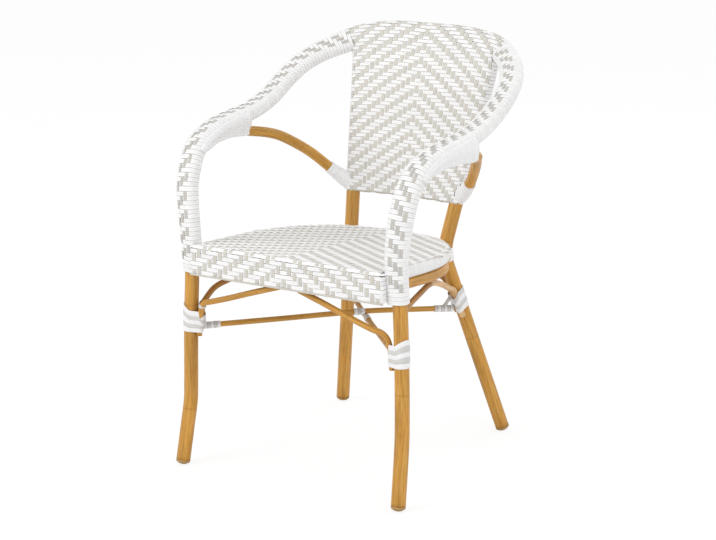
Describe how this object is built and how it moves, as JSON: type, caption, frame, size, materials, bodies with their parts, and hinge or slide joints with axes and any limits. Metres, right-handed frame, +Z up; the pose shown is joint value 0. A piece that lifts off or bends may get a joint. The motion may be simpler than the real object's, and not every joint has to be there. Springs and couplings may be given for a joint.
{
  "type": "rattan bistro armchair",
  "caption": "Rattan bistro armchair with a round-cornered seat, back and arms woven in white and taupe twill on bent, bound poles.",
  "frame": {"origin": "on the floor, at the middle of the chair's width and depth", "axes": "+X to the right-hand side seen from the front, +Y to the back, +Z up"},
  "size_m": [0.5644, 0.5748, 0.8316],
  "materials": {
    "bamboo": "peeled cane with a satin golden-brown varnish",
    "weave": "white and taupe flat synthetic cane in twill",
    "wrap": "smooth white synthetic cane, close wrapped",
    "binding": "white and pale grey binding strip, satin",
    "glide": "tan moulded foot glide"
  },
  "bodies": {
    "root": {"hoop_pole": "bamboo", "back_weave": "weave", "seat_weave": "weave", "seat_rim": "bamboo", "front_rail": "bamboo", "rear_rail": "bamboo", "front_arch": "bamboo", "rear_arch": "bamboo", "rear_leg_right": "bamboo", "rear_leg_left": "bamboo", "arm_sleeve_right": "weave", "arm_sleeve_left": "weave", "side_rail_right": "bamboo", "side_rail_left": "bamboo", "arm_brace_right": "bamboo", "arm_brace_left": "bamboo", "saddle_wrap_right": "wrap", "saddle_wrap_left": "wrap", "brace_wrap_right": "wrap", "brace_wrap_left": "wrap", "side_arch_right": "bamboo", "side_arch_left": "bamboo", "cross_stretcher_right": "bamboo", "cross_stretcher_left": "bamboo", "knee_wrap_right": "wrap", "knee_wrap_left": "wrap", "front_glide_right": "glide", "front_glide_left": "glide", "rear_glide_right": "glide", "rear_glide_left": "glide", "front_leg_binding_right": "binding", "front_leg_binding_left": "binding", "rear_leg_binding_right": "binding", "rear_leg_binding_left": "binding", "front_stretcher_wrap_right": "binding", "front_stretcher_wrap_left": "binding", "rear_stretcher_wrap_right": "binding", "rear_stretcher_wrap_left": "binding", "cross_binding_right": "binding", "cross_binding_left": "binding"}
  },
  "joints": []
}
